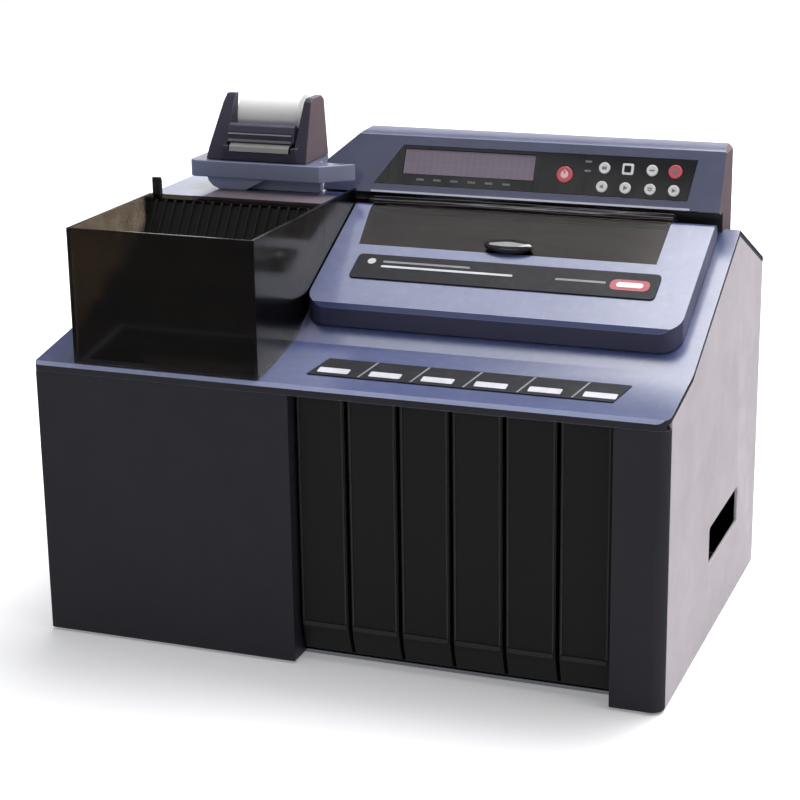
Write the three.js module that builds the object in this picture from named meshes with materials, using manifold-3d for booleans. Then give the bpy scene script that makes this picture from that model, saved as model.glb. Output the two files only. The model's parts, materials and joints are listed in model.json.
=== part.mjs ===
// Desktop coin sorting machine: hopper, sorting rail, six coin drawers, display console and slip printer.
// Millimetres, +Z up, +Y to the rear, +X to the operator's right. The exported group's origin is the
// centre of the footprint on the table. Inside it, y = 0 is the front face and y = DEPTH the back.
import * as THREE from 'three';
import { mergeVertices } from 'three/addons/utils/BufferGeometryUtils.js';
import Module from 'manifold-3d';

const wasm = await Module();
wasm.setup();

// ---- driving dimensions ----
const WIDTH = 530;
const DEPTH = 345;
const HALF = WIDTH / 2;
const FLOOR = 2; // height of the casing's lower edge over the table
const WALL = 3; // moulded panels
const GAP = 0.3; // between neighbouring pieces
const DECK_SKIN = 4.5; // deck thickness, measured vertically
const LIP_BOTTOM = 229; // lower edge of the deck's front lip
const FRONT_TOP = { y: 2.5, z: 237.4 }; // end of the lip's bevel
const KINK = { y: 78, z: 251 }; // the label strip meets the main slope
const PEAK = { y: 240, z: 330 }; // highest line of the deck
const REAR_EDGE = { y: DEPTH, z: 284 };
const CORNER = 10; // radius of the right front corner

const BLOCK_RIGHT = -40; // right edge of the front block
const PILLAR_LEFT = 223;
const DRAWERS = 6;
const DRAWER_PITCH = 43.4;
const FIRST_FIN = -38.6; // middle of the leftmost drawer guide
const FIN = 1.4;
const DRAWER_FRONT = 11; // drawer faces stand back from the front face
const DRAWER_BACK = 212;
const BIN_TOP = 190;
const RAIL_TOP = 231;
const DROP_Y = 145; // middle of the row of sorting holes

const LABEL_STRIP = [[-32, 22], [217, 22], [224, 51], [-24, 51]]; // [x, y] corners
const FEED_OPENING = { x0: -222, x1: -75, y0: 14, y1: 76 }; // hole in the deck under the hopper
const LID_BAY = { x0: -50, x1: 232, y0: 108, y1: 206 }; // hole in the deck under the lid
const HAND_SLOT = { y0: 156, y1: 268, z0: 65, z1: 98 };
const REAR_PANEL = { y0: 339, y1: 342, top: 280 };
const VENT = { count: 12, x: -60, pitch: 12, width: 5, z0: 150, z1: 210 };
const HOPPER = { x0: -230, x1: -66, y0: 4, y1: 150, top: 350 };
const HOPPER_WALL = 3;
const LID = { x0: -65, x1: 249, front: 96, thick: 16, lift: 1.2, corner: 16 };
const LID_PIVOT = { y: 218, z: 329.5 };
const LID_BORE = 2.4; // radius of the hole round the hinge rod
const LUGS = [-58, 231]; // middles of the deck's two lugs that hold the rod
const WINDOW = { front: 168, left: -43, right: 212, rollLeft: -49, thick: 2.6 };
const KNOB = { x: 87, y: WINDOW.front + 5, rx: 21, ry: 6.5, top: 6 };
const BADGE = { x0: -38, x1: 221, y0: 127, y1: 155 };
const SHELF = { x0: -240, x1: -75, y0: 154, y1: 300, top: 345 };
const PLATFORM = { bottom: 356.5, top: 371 };
const CONSOLE = { x0: -98, x1: 251, back: 269, top: 397 };
const FACE_FOOT = { y: 222, z: 347 }; // lower edge of the console's face
const FACE_TILT = THREE.MathUtils.degToRad(65);
const FACE_LENGTH = 51;
const HINGE_COVER = { y: 230, z: 338, r: 6, x0: -56, x1: 213 };
const ROLL = { y: 244.5, z: 406, r: 19.5, core: 6, x0: -179, x1: -122 };
const PLATEN = { y: 218, z: 380.6, r: 4.6 };
const DISC = { x: -140, y: 95, r: 66, top: 230 };
const MOTOR = { x: -215, y: 205, r: 24 };
const DISC_PULLEY = 28;
const MOTOR_PULLEY = 10;
const BELT = { z: 246, r: 9, x0: -40, x1: 232 };
const RAIL = { x0: -60, x1: 246, y0: 104, y1: 196, fence: 166 };
const CHUTES = { x0: -37, x1: 221, y0: 100, y1: 190, z0: 203, z1: 227.4, throat: 16 };
const PLATE = { x0: -258, x1: -62, y0: 45, y1: 250, z0: 184, z1: 187 };
const SOCKET = { x: -215, z: 42 };
const ROCKER = { x: -180, z: 42 };

const COLOURS = {
  charcoal: [0x2b2d36, 0.5, 0.0],
  deckBlue: [0x7f88b0, 0.35, 0.1],
  sideGrey: [0xc6bec4, 0.45, 0.0],
  drawerBlack: [0x1f1f1c, 0.25, 0.0],
  smoke: [0x3a332c, 0.12, 0.0],
  black: [0x141416, 0.35, 0.0],
  rubber: [0x1a1a1a, 0.9, 0.0],
  steel: [0xa9adb2, 0.35, 0.9],
  panel: [0x0f1011, 0.2, 0.0],
  lcd: [0x6f6275, 0.25, 0.0],
  white: [0xe9e6e4, 0.5, 0.0],
  red: [0xc4474e, 0.4, 0.0],
  paper: [0xf4f4f2, 0.9, 0.0],
  board: [0x1d5a35, 0.6, 0.0],
  console: [0x4a4f60, 0.4, 0.1],
};

// ---- shape helpers ----
function solid(geometry) {
  const bare = geometry.clone();
  bare.deleteAttribute('normal');
  bare.deleteAttribute('uv');
  const merged = mergeVertices(bare, 1e-4);
  const vertProperties = new Float32Array(merged.attributes.position.array);
  const triVerts = new Uint32Array(merged.index.array);
  return new wasm.Manifold(new wasm.Mesh({ numProp: 3, vertProperties, triVerts }));
}

function node(name, body, colour) {
  const { vertProperties, triVerts } = body.getMesh();
  const geometry = new THREE.BufferGeometry();
  geometry.setAttribute('position', new THREE.BufferAttribute(vertProperties, 3));
  geometry.setIndex(new THREE.BufferAttribute(triVerts, 1));
  const [color, roughness, metalness] = COLOURS[colour];
  const mesh = new THREE.Mesh(geometry, new THREE.MeshStandardMaterial({ color, roughness, metalness }));
  mesh.name = name;
  return mesh;
}

function box(x0, x1, y0, y1, z0, z1) {
  const geometry = new THREE.BoxGeometry(x1 - x0, y1 - y0, z1 - z0);
  geometry.translate((x0 + x1) / 2, (y0 + y1) / 2, (z0 + z1) / 2);
  return solid(geometry);
}

function extrude(outline, depth, matrix) {
  const shape = new THREE.Shape(outline.map(([u, v]) => new THREE.Vector2(u, v)));
  const geometry = new THREE.ExtrudeGeometry(shape, { depth, bevelEnabled: false });
  geometry.applyMatrix4(matrix);
  return solid(geometry);
}

// An outline of [y, z] points, swept from x0 to x1.
function prismX(outline, x0, x1) {
  const matrix = new THREE.Matrix4().set(0, 0, 1, x0, 1, 0, 0, 0, 0, 1, 0, 0, 0, 0, 0, 1);
  return extrude(outline, x1 - x0, matrix);
}

// An outline of [x, z] points, swept from y0 to y1.
function prismY(outline, y0, y1) {
  const matrix = new THREE.Matrix4().set(1, 0, 0, 0, 0, 0, -1, y1, 0, 1, 0, 0, 0, 0, 0, 1);
  return extrude(outline, y1 - y0, matrix);
}

// An outline of [x, y] points, swept from z0 to z1.
function prismZ(outline, z0, z1) {
  return extrude(outline, z1 - z0, new THREE.Matrix4().makeTranslation(0, 0, z0));
}

function arc(cu, cv, r, fromDeg, toDeg, steps) {
  const points = [];
  for (let i = 0; i <= steps; i += 1) {
    const angle = THREE.MathUtils.degToRad(fromDeg + ((toDeg - fromDeg) * i) / steps);
    points.push([cu + r * Math.cos(angle), cv + r * Math.sin(angle)]);
  }
  return points;
}

function circle(cu, cv, r, steps = 24) {
  return arc(cu, cv, r, 0, 360 - 360 / steps, steps - 1);
}

function roundedBox(u0, u1, v0, v1, r, steps = 3) {
  return [
    ...arc(u1 - r, v1 - r, r, 0, 90, steps),
    ...arc(u0 + r, v1 - r, r, 90, 180, steps),
    ...arc(u0 + r, v0 + r, r, 180, 270, steps),
    ...arc(u1 - r, v0 + r, r, 270, 360, steps),
  ];
}

// A closed [radius, height] profile turned about a vertical axis at (x, y).
function turned(profile, x, y, steps = 28) {
  const points = profile.map(([r, z]) => new THREE.Vector2(r, z));
  const geometry = new THREE.LatheGeometry(points, steps);
  geometry.rotateX(Math.PI / 2);
  geometry.translate(x, y, 0);
  return solid(geometry);
}

// ---- heights of the deck's upper surface ----
function deckTop(y) {
  if (y <= KINK.y) {
    return FRONT_TOP.z + ((y - FRONT_TOP.y) * (KINK.z - FRONT_TOP.z)) / (KINK.y - FRONT_TOP.y);
  }
  if (y <= PEAK.y) {
    return KINK.z + ((y - KINK.y) * (PEAK.z - KINK.z)) / (PEAK.y - KINK.y);
  }
  return PEAK.z + ((y - PEAK.y) * (REAR_EDGE.z - PEAK.z)) / (REAR_EDGE.y - PEAK.y);
}

const SLOPE = Math.atan2(PEAK.z - KINK.z, PEAK.y - KINK.y);

// The deck's upper line between two depths, raised by `lift`, from front to rear.
function deckLine(y0, y1, lift) {
  const bends = [KINK.y, PEAK.y].filter((y) => y > y0 && y < y1);
  return [y0, ...bends, y1].map((y) => [y, deckTop(y) + lift]);
}

// ---- casing ----
function topDeck() {
  const skin = deckLine(4, DEPTH, -DECK_SKIN).reverse();
  const outline = [[0, LIP_BOTTOM], [0, 234.5], ...deckLine(FRONT_TOP.y, DEPTH, 0), ...skin, [4, LIP_BOTTOM]];
  const plan = [
    ...arc(HALF - CORNER, CORNER, CORNER, -90, 0, 6),
    [HALF, DEPTH],
    [-HALF, DEPTH],
    ...arc(-HALF + WALL, WALL, WALL, 180, 270, 2),
  ];
  let deck = prismX(outline, -HALF, HALF).intersect(prismZ(plan, 200, 340));
  deck = deck.subtract(box(LID_BAY.x0, LID_BAY.x1, LID_BAY.y0, LID_BAY.y1, 240, 340));
  deck = deck.subtract(box(FEED_OPENING.x0, FEED_OPENING.x1, FEED_OPENING.y0, FEED_OPENING.y1, 200, 300));
  for (const x of LUGS) {
    deck = deck.add(box(x - 2, x + 2, 213, 222.2, deckTop(212) - 2, 332));
  }
  return deck.subtract(prismX(circle(LID_PIVOT.y, LID_PIVOT.z, LID_BORE, 12), -62, 240));
}

function sidePanel(x0, x1, front) {
  const top = deckLine(front, DEPTH, -DECK_SKIN - GAP);
  const outline = [[front, FLOOR], ...top, [DEPTH, FLOOR]];
  const slot = roundedBox(HAND_SLOT.y0, HAND_SLOT.y1, HAND_SLOT.z0, HAND_SLOT.z1, 3);
  return prismX(outline, x0, x1).subtract(prismX(slot, x0 - 1, x1 + 1));
}

function frontBlock() {
  const outline = [
    [BLOCK_RIGHT, 0],
    [BLOCK_RIGHT, 40],
    [BLOCK_RIGHT - WALL, 40],
    [BLOCK_RIGHT - WALL, WALL],
    [-HALF, WALL],
    ...arc(-HALF + 2, 2, 2, 180, 270, 2),
  ];
  return prismZ(outline, FLOOR, LIP_BOTTOM - GAP);
}

function frontPillar() {
  const outline = [
    [PILLAR_LEFT, 0],
    ...arc(HALF - CORNER, CORNER, CORNER, -90, 0, 6),
    [HALF, CORNER + 2],
    [HALF - WALL, CORNER + 2],
    ...arc(HALF - CORNER, CORNER, CORNER - WALL, 0, -90, 6),
    [PILLAR_LEFT + WALL, WALL],
    [PILLAR_LEFT + WALL, 40],
    [PILLAR_LEFT, 40],
  ];
  return prismZ(outline, FLOOR, LIP_BOTTOM - GAP);
}

function rearPanel() {
  const { y0, y1, top } = REAR_PANEL;
  let panel = box(-HALF + WALL + GAP, HALF - WALL - GAP, y0, y1, 5.3, top);
  panel = panel.subtract(box(SOCKET.x - 13.6, SOCKET.x + 13.6, 330, 350, SOCKET.z - 10, SOCKET.z + 10));
  panel = panel.subtract(box(ROCKER.x - 7, ROCKER.x + 7, 330, 350, ROCKER.z - 11.5, ROCKER.z + 11.5));
  for (let i = 0; i < VENT.count; i += 1) {
    const x = VENT.x + i * VENT.pitch;
    panel = panel.subtract(box(x, x + VENT.width, 330, 350, VENT.z0, VENT.z1));
  }
  return panel;
}

const FEET = {
  front_left: [-240, 25],
  front_right: [240, 25],
  rear_left: [-240, 318],
  rear_right: [240, 318],
};

function basePan() {
  let pan = box(-HALF + WALL + GAP, HALF - WALL - GAP, WALL + GAP, 341.7, FLOOR, 5);
  pan = pan.subtract(box(BLOCK_RIGHT - WALL - GAP, PILLAR_LEFT + WALL + GAP, 0, 22, 0, 10));
  for (const x of [BLOCK_RIGHT - WALL, PILLAR_LEFT]) {
    pan = pan.subtract(box(x - GAP, x + WALL + GAP, 0, 40.3, 0, 10));
  }
  pan = pan.subtract(box(250, HALF, 0, CORNER + 2 + GAP, 0, 10));
  for (const [x, y] of Object.values(FEET)) {
    pan = pan.subtract(prismZ(circle(x, y, 4.4, 16), 0, 10));
  }
  return pan;
}

function foot(x, y) {
  return turned([[0, 0], [10, 0], [10, 1.7], [4, 1.7], [4, 5.3], [6, 5.3], [5, 8], [0, 8]], x, y, 20);
}

// Six framed cards under the deck's front edge, one over each drawer.
function labelStrip() {
  const at = (y, lift) => [y, deckTop(y) + lift];
  const strip = prismX([at(22, GAP), at(51, GAP), at(51, 1.1), at(22, 1.1)], -40, 240);
  return strip.intersect(prismZ(LABEL_STRIP, 200, 300));
}

// ---- drawers ----
function finX(i) {
  return FIRST_FIN + i * DRAWER_PITCH;
}

function drawerFrame() {
  const left = finX(0) - FIN / 2;
  const right = finX(DRAWERS) + FIN / 2;
  let frame = box(left, right, 24, 250, 5.3, 6.8).add(box(left, right, 248.5, 250, 5.3, 200));
  for (let i = 0; i <= DRAWERS; i += 1) {
    frame = frame.add(box(finX(i) - FIN / 2, finX(i) + FIN / 2, 24, 250, 5.3, 200));
  }
  return frame;
}

function drawer(i) {
  const x0 = finX(i) + 1.5;
  const x1 = finX(i + 1) - 1.5;
  const f = DRAWER_FRONT;
  const face = [[f, 33], [f + 7, 9], [f + 10, 9], [f + 10, 30], [f + 3, 34], [f + 3, 227.5], [f, 227.5]];
  const bin = box(x0, x1, f + 2, DRAWER_BACK, 9, BIN_TOP);
  const room = box(x0 + 1.8, x1 - 1.8, f + 12, DRAWER_BACK - 1.8, 10.8, BIN_TOP + 10);
  const underFace = prismX([[f - 1, 33], [f + 7, 9], [f + 7, 0], [f - 1, 0]], x0 - 1, x1 + 1);
  return bin.subtract(room).subtract(underFace).add(prismX(face, x0, x1));
}

// ---- coin path ----
function hopperBin() {
  const { x0, x1, y0, y1, top } = HOPPER;
  const foot0 = deckLine(y0, y1, 0.5);
  const shell = prismX([...foot0, [y1, top], [y0, top]], x0, x1);
  const room = box(x0 + HOPPER_WALL, x1 - HOPPER_WALL, y0 + HOPPER_WALL, y1 - HOPPER_WALL, 200, top + 1);
  const longWall = prismX([...deckLine(y0, 220, 0.5), [220, top], [y0, top]], x1 - HOPPER_WALL, x1);
  return shell.subtract(room).add(longWall).add(hopperHook());
}

function hopperRamp() {
  const x0 = HOPPER.x0 + HOPPER_WALL + GAP;
  const x1 = HOPPER.x1 - HOPPER_WALL - GAP;
  let ramp = prismX([[84, 255], [146.6, 340], [146.6, 344], [80, 253.5], [80, 252.6]], x0, x1);
  for (let x = x0 + 5; x < x1 - 3; x += 8.8) {
    ramp = ramp.add(prismX([[80.4, 253.2], [146.6, 343.2], [146.6, 346], [144, 345.6], [79, 256]], x, x + 2));
  }
  return ramp;
}

// A hook moulded on the rear wall's left end, standing over the rim.
function hopperHook() {
  return prismX([[148, 300], [153.7, 300], [153.7, 361], [152, 364], [148, 364]], -226, -219);
}

function sortRail() {
  const { x0, x1, y0, y1, fence } = RAIL;
  let rail = box(x0, x1, y0, y1, RAIL_TOP - 3, RAIL_TOP).add(box(x0, x1, fence, fence + 3, RAIL_TOP - 1, 262));
  for (let i = 0; i < DRAWERS; i += 1) {
    rail = rail.subtract(prismZ(circle(dropX(i), DROP_Y, 9 + i, 20), 200, 240));
  }
  for (const x of [BELT.x0, BELT.x1]) {
    rail = rail.subtract(prismY(circle(x, BELT.z, 3.5, 12), fence - 5, fence + 8));
  }
  return rail;
}

function dropX(i) {
  return (finX(i) + finX(i + 1)) / 2;
}

function coinChutes() {
  const { x0, x1, y0, y1, z0, z1, throat } = CHUTES;
  let block = box(x0, x1, y0, y1, z0, z1);
  for (let i = 0; i < DRAWERS; i += 1) {
    block = block.subtract(box(dropX(i) - throat, dropX(i) + throat, 115, 175, 200, 230));
  }
  return block;
}

function feedDisc() {
  const { x, y, r, top } = DISC;
  const p = DISC_PULLEY;
  const hub = [[0, 188], [5, 188], [5, 190], [p, 190], [p, 200], [12, 200], [6, 203], [6, top - 4]];
  return turned([...hub, [r, top - 4], [r, top], [20, top], [6, top + 3], [0, top + 3]], x, y, 36);
}

function motorPulley() {
  const r = MOTOR_PULLEY;
  return turned([[3.3, 190], [r, 190], [r, 200], [3.3, 200], [3.3, 190]], MOTOR.x, MOTOR.y, 20);
}

function feedMotor() {
  const r = MOTOR.r;
  return turned([[0, 120], [r, 120], [r, 183.7], [3, 183.7], [3, 204], [0, 204]], MOTOR.x, MOTOR.y, 24);
}

function mechanismPlate() {
  return box(PLATE.x0, PLATE.x1, PLATE.y0, PLATE.y1, PLATE.z0, PLATE.z1)
    .subtract(prismZ(circle(DISC.x, DISC.y, 8, 16), PLATE.z0 - 1, PLATE.z1 + 1))
    .subtract(prismZ(circle(MOTOR.x, MOTOR.y, 5, 12), PLATE.z0 - 1, PLATE.z1 + 1));
}

// The outline of a belt round two pulleys, each given as [u, v, radius], grown by `grow`.
function beltOutline([u0, v0, r0], [u1, v1, r1], grow) {
  const span = Math.hypot(u1 - u0, v1 - v0);
  const lean = THREE.MathUtils.radToDeg(Math.atan2(v1 - v0, u1 - u0));
  const wrap = THREE.MathUtils.radToDeg(Math.acos((r0 - r1) / span));
  return [
    ...arc(u0, v0, r0 + grow, lean + wrap, lean + 360 - wrap, 14),
    ...arc(u1, v1, r1 + grow, lean - wrap, lean + wrap, 10),
  ];
}

function driveBelt() {
  const wheels = [[DISC.x, DISC.y, DISC_PULLEY], [MOTOR.x, MOTOR.y, MOTOR_PULLEY]];
  const outer = prismZ(beltOutline(...wheels, 2), 191, 199);
  return outer.subtract(prismZ(beltOutline(...wheels, 0.4), 190, 200));
}

function transportBelt() {
  const wheels = [[BELT.x0, BELT.z, BELT.r], [BELT.x1, BELT.z, BELT.r]];
  const outer = prismY(beltOutline(...wheels, 2), DROP_Y - 7, DROP_Y + 7);
  return outer.subtract(prismY(beltOutline(...wheels, 0.4), DROP_Y - 8, DROP_Y + 8));
}

function beltPulley(x) {
  const wheel = prismY(circle(x, BELT.z, BELT.r, 20), DROP_Y - 8, DROP_Y + 8);
  return wheel.add(prismY(circle(x, BELT.z, 3, 12), DROP_Y + 7, 174));
}

function transportMotor() {
  return prismY(circle(BELT.x0, BELT.z, 14, 20), 174.4, 222);
}

// ---- lid over the coin path ----
// A line at `lift` over the main slope, square to it.
function overSlope(y, lift) {
  return [y, deckTop(y) + lift / Math.cos(SLOPE)];
}

const LID_TOP = LID.lift + LID.thick;
const WINDOW_OUTLINE = [
  [WINDOW.left, WINDOW.front],
  [WINDOW.right, WINDOW.front],
  [WINDOW.right, 230],
  [WINDOW.rollLeft, 230],
  [WINDOW.rollLeft, 209],
];

// The round rear edge shared by the lid and its window, about the hinge rod.
function hingeRoll(radius) {
  const tilt = THREE.MathUtils.radToDeg(SLOPE);
  return arc(LID_PIVOT.y, LID_PIVOT.z, radius, 90 + tilt, tilt - 90, 10);
}

function lidFrame() {
  const [fy, fz] = overSlope(LID.front, LID_TOP);
  const nose = [[fy, fz - 3], [fy + 2.5, fz + 1.2]];
  const slab = prismX(
    [...nose, ...hingeRoll(LID.thick / 2), overSlope(LID.front, LID.lift)],
    LID.x0,
    LID.x1,
  );
  const plan = roundedBox(LID.x0, LID.x1, LID.front, 260, LID.corner, 5);
  const inner = LID.front + WALL;
  const roomPlan = roundedBox(LID.x0 + WALL, LID.x1 - WALL, inner, 260, LID.corner - WALL, 5);
  const under = [overSlope(inner, -5), overSlope(inner, LID_TOP - WALL), overSlope(205, LID_TOP - WALL)];
  const rear = [overSlope(209, LID.lift + 3), overSlope(209, -5)];
  const room = prismX([...under, ...rear], LID.x0, LID.x1).intersect(prismZ(roomPlan, 200, 400));
  const glass = WINDOW_OUTLINE.map(([x, y]) => [x + Math.sign(x) * 0.6, y + (y < 190 ? -0.6 : 0)]);
  let lid = slab.intersect(prismZ(plan, 200, 400)).subtract(room).subtract(prismZ(glass, 200, 400));
  for (const x of LUGS) {
    lid = lid.subtract(box(x - 3, x + 3, 209.5, 230, 280, LID_PIVOT.z + 1.5));
    lid = lid.subtract(prismX(circle(LID_PIVOT.y, LID_PIVOT.z, 6.2, 16), x - 3, x + 3));
  }
  const bore = prismX(circle(LID_PIVOT.y, LID_PIVOT.z, LID_BORE, 12), LID.x0 + 1.5, LID.x1 - 1.5);
  return lid.subtract(bore);
}

function lidHingeRod() {
  return prismX(circle(LID_PIVOT.y, LID_PIVOT.z, 2, 12), LID.x0 + 2, LID.x1 - 2);
}

function windowFlap() {
  const pane = [WINDOW.front, 217].map((y) => overSlope(y, LID_TOP - 0.2));
  const back = [217, WINDOW.front].map((y) => overSlope(y, LID_TOP - 0.2 - WINDOW.thick));
  const roll = prismX(circle(LID_PIVOT.y, LID_PIVOT.z, LID.thick / 2, 28), -60, 220);
  return prismX([...pane, ...back], -60, 220)
    .add(roll)
    .intersect(prismZ(WINDOW_OUTLINE, 290, 400))
    .subtract(prismX(circle(LID_PIVOT.y, LID_PIVOT.z, LID_BORE, 12), -61, 221));
}

function windowKnob() {
  const { x, y, rx, ry, top } = KNOB;
  const oval = circle(0, 0, 1, 24).map(([u, v]) => [x + rx * u, y + ry * v]);
  const under = [y - 10, y + 10].map((d) => overSlope(d, LID_TOP + GAP));
  const over = [y + 10, y - 10].map((d) => overSlope(d, LID_TOP + top));
  return prismX([...under, ...over], x - rx - 5, x + rx + 5).intersect(prismZ(oval, 290, 400));
}

function lidBadge() {
  const { x0, x1, y0, y1 } = BADGE;
  const under = [y0, y1].map((y) => overSlope(y, LID_TOP + GAP));
  const over = [y1, y0].map((y) => overSlope(y, LID_TOP + 1.1));
  return prismX([...under, ...over], x0, x1).intersect(prismZ(roundedBox(x0, x1, y0, y1, 4), 250, 400));
}

// ---- console ----
// A point on the console's face, `s` up from its lower edge and `out` square to it.
function facePoint(s, out) {
  const c = Math.cos(FACE_TILT);
  const k = Math.sin(FACE_TILT);
  return [FACE_FOOT.y + s * c - out * k, FACE_FOOT.z + s * k + out * c];
}

// Stands an [x, s] outline up on the face, between two distances out of it.
function onFace(outline, out0, out1) {
  const c = Math.cos(FACE_TILT);
  const k = Math.sin(FACE_TILT);
  const [y, z] = facePoint(0, out0);
  const matrix = new THREE.Matrix4().set(1, 0, 0, 0, 0, c, -k, y, 0, k, c, z, 0, 0, 0, 1);
  return extrude(outline, out1 - out0, matrix);
}

const FASCIA = [[-52, 8], [223, 8], [228, 43], [-29, 43]];
const LCD = [-27, 90, 18, 40];
const KEY_R = 4.8;
const KEYS = [
  { name: 'power_button', x: 117, s: 25, r: 7, colour: 'red' },
  { name: 'key_print', x: 150.5, s: 32.5, r: KEY_R, colour: 'white' },
  { name: 'key_select', x: 170.5, s: 32.5, r: KEY_R, colour: 'white' },
  { name: 'key_clear', x: 191, s: 32.5, r: KEY_R, colour: 'white' },
  { name: 'key_stop', x: 210.5, s: 32.5, r: 5.8, colour: 'red' },
  { name: 'key_left', x: 150, s: 16.5, r: KEY_R, colour: 'white' },
  { name: 'key_right', x: 170, s: 16.5, r: KEY_R, colour: 'white' },
  { name: 'key_mode', x: 191, s: 16.5, r: KEY_R, colour: 'white' },
  { name: 'key_start', x: 211, s: 16.5, r: KEY_R, colour: 'white' },
];

function consoleShell() {
  const { x0, x1, back, top } = CONSOLE;
  const outline = [
    [FACE_FOOT.y + 5, 344.5],
    facePoint(0, 0),
    facePoint(FACE_LENGTH, 0),
    facePoint(FACE_LENGTH + 4, -3),
    [back - 3, top],
    [back, top - 3],
    [back, deckTop(back) + 0.5],
    [PEAK.y, PEAK.z + 0.6],
    [236, deckTop(236) + 0.6],
    [236, 344.5],
  ];
  const ends = [[x0, 300], [x1, 300], [x1, top - 5], [x1 - 4, top + 1], [x0 + 32, top + 1], [x0, PLATFORM.top]];
  const hollow = [[241, 300], [241, 352], [256, 394], [265, 395], [265, 300]];
  return prismX(outline, x0, x1)
    .intersect(prismY(ends, 200, 300))
    .subtract(prismX(hollow, x0 + 26, x1 - WALL))
    .subtract(box(x0 - 1, SHELF.x1 + GAP, 200, 300, 300, SHELF.top + GAP))
    .add(hingeCover())
    .subtract(onFace(FASCIA, -2.5, 1))
    .subtract(onFace([[-40, 9.8], [219, 9.8], [223, 41], [-28.5, 41]], -16, 0));
}

// A glossy half-round strip under the console's lip, behind the lid's rolled edge.
function hingeCover() {
  const { y, z, r, x0, x1 } = HINGE_COVER;
  return prismX(circle(y, z, r, 28), x0, x1).add(box(x0, x1, y, y + 8, z - 3, z + 3));
}

function displayPanel() {
  const inset = FASCIA.map(([x, s]) => [x + (x < 0 ? GAP : -GAP), s + (s < 20 ? GAP : -GAP)]);
  const [x0, x1, s0, s1] = LCD;
  const pane = [[x0 - GAP, s0 - GAP], [x1 + GAP, s0 - GAP], [x1 + GAP, s1 + GAP], [x0 - GAP, s1 + GAP]];
  let panel = onFace(inset, -2.2, -0.2).subtract(onFace(pane, -3, 1));
  for (const key of KEYS) {
    panel = panel.subtract(onFace(circle(key.x, key.s, key.r + 0.4, 20), -3, 1));
  }
  return panel;
}

function lcdScreen() {
  const [x0, x1, s0, s1] = LCD;
  return onFace([[x0, s0], [x1, s0], [x1, s1], [x0, s1]], -4, -0.8);
}

function keyCap({ x, s, r }) {
  const cap = onFace(circle(x, s, r, 20), -5, 1.4);
  return cap.add(onFace(circle(x, s, r + 1.2, 20), -5, -3));
}

// ---- slip printer on the rear left ----
function rearShelf() {
  const { x0, x1, y0, y1, top } = SHELF;
  const shell = prismX([...deckLine(y0, y1, 0.6), [y1, top], [y0, top]], x0, x1);
  return shell.subtract(box(x0 + WALL, x1 - WALL, y0 + WALL, y1 - WALL, 250, top - WALL));
}

// A table for the printer that sweeps back to the console, on a hull-shaped pedestal.
function printerPlatform() {
  const { bottom, top } = PLATFORM;
  const rest = SHELF.top + GAP;
  const back = 258;
  const plan = [
    ...arc(-209, 204, 6, 180, 270, 3),
    [-92, 198],
    [LID.x0 - 1, FACE_FOOT.y - 3],
    [CONSOLE.x0 - GAP, FACE_FOOT.y - 3],
    [CONSOLE.x0 - GAP, 224],
    [-107, 230],
    [-107, back],
    [-215, back],
  ];
  const hull = [[-201, bottom + 1], [-199, 352], [-195, 348], [-189, rest], [-164, rest], [-140, bottom + 1]];
  return prismZ(plan, bottom, top)
    .add(prismY(hull, 203, back - 2))
    .add(box(-165, CONSOLE.x0 - GAP, 211, 224, rest, bottom + 1));
}

function printerHousing() {
  const foot0 = PLATFORM.top + GAP;
  const finBack = [[236, 426], [234, 412], [237, 397], [252, foot0]];
  const fin = [[204, foot0], [207, 382], [224, 419], [230, 426], ...finBack];
  const cheek = [[204, foot0], [207, 382], [221, 422], [225, 425], [245, 425], [250, 421], [255, foot0]];
  const finEnds = [[-201, foot0], [-182, foot0], [-182, 428], [-190, 428]];
  const cheekEnds = [[-120, foot0], [-106, foot0], [-107, 428], [-113, 428]];
  const left = prismX(fin, -203, -180).intersect(prismY(finEnds, 200, 260));
  const right = prismX(cheek, -121, -105).intersect(prismY(cheekEnds, 200, 260));
  return left
    .add(right)
    .add(box(-185, -115, 204, 252, foot0, 384))
    .subtract(box(-182, -119.5, 210, 249.5, 375, 400))
    .subtract(box(-180, -121, 200, 212, 379, 400));
}

function printerHead() {
  const front = [[216, 402.5], [211, 401], [208, 396], [208, 388], [210, 387]];
  const bar = [[220, 387], [224, 391], [222, 399], ...front];
  return prismX(bar, -181.7, -119.7);
}

function platenRoller() {
  return prismX(circle(PLATEN.y, PLATEN.z, PLATEN.r, 16), -181, -120.5);
}

// The end of the paper, lying over the platen and curling down in front.
function paperStrip() {
  const over = [[219, 385.5], [219, 386.1], [208, 386.1], [204.4, 383.6], [203.4, 379.4]];
  return prismX([...over, [204, 379.4], [204.9, 383.2], [208.2, 385.5]], -178.5, -122.5);
}

function paperRoll() {
  const { y, z, r, core, x0, x1 } = ROLL;
  return prismX(circle(y, z, r, 32), x0, x1).subtract(prismX(circle(y, z, core, 16), x0 - 1, x1 + 1));
}

// ---- electrics ----
function controlBoard() {
  let board = box(-60, 200, 320, 321.6, 80, 220);
  for (let i = 0; i < 4; i += 1) {
    board = board.add(box(-40 + i * 60, -10 + i * 60, 316, 321, 120, 150));
  }
  return board;
}

function powerSupply() {
  return box(-226, -90, 240, 314, 6, 58);
}

function powerInlet() {
  const { x, z } = SOCKET;
  const body = box(x - 13.3, x + 13.3, 318, 344, z - 9.7, z + 9.7);
  const flange = box(x - 17, x + 17, 342.3, 344.3, z - 13, z + 13);
  return body.add(flange).subtract(box(x - 11, x + 11, 325, 346, z - 7, z + 7));
}

function rockerSwitch() {
  const { x, z } = ROCKER;
  return prismX([[334, z - 10], [343.4, z - 10], [342.4, z], [343.4, z + 10], [334, z + 10]], x - 6, x + 6);
}

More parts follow.
